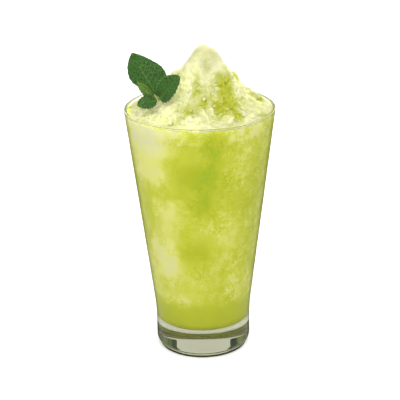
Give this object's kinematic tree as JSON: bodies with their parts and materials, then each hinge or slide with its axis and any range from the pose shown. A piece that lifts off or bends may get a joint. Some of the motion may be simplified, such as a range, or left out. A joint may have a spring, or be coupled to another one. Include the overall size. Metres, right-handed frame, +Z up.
{
  "type": "glass of melon slush",
  "caption": "Tall flared clear glass with a thick base, filled with pale green melon slush under a peaked heap of crushed ice, with a small sprig of mint at its left.",
  "frame": {"origin": "centre of the glass's flat underside, on the surface it stands on", "axes": "+Z up along the glass's axis; the front, as pictured, faces -Y, and the mint stands at -X"},
  "size_m": [0.088, 0.088, 0.1858],
  "materials": {
    "clear_glass": "clear, polished",
    "melon_slush": "wet, cloudy, slightly see-through icy drink",
    "crushed_ice": "wet crushed ice soaked with melon syrup",
    "mint_green": "soft satin leaf",
    "young_mint": "soft satin young leaf",
    "mint_stem": "soft satin stem"
  },
  "bodies": {
    "root": {"glass": "clear_glass", "slush_drink": "melon_slush", "ice_heap": "crushed_ice", "mint_leaf_tall": "mint_green", "mint_leaf_right": "mint_green", "mint_leaf_young": "young_mint", "mint_leaf_low": "mint_green", "mint_stem": "mint_stem"}
  },
  "joints": []
}
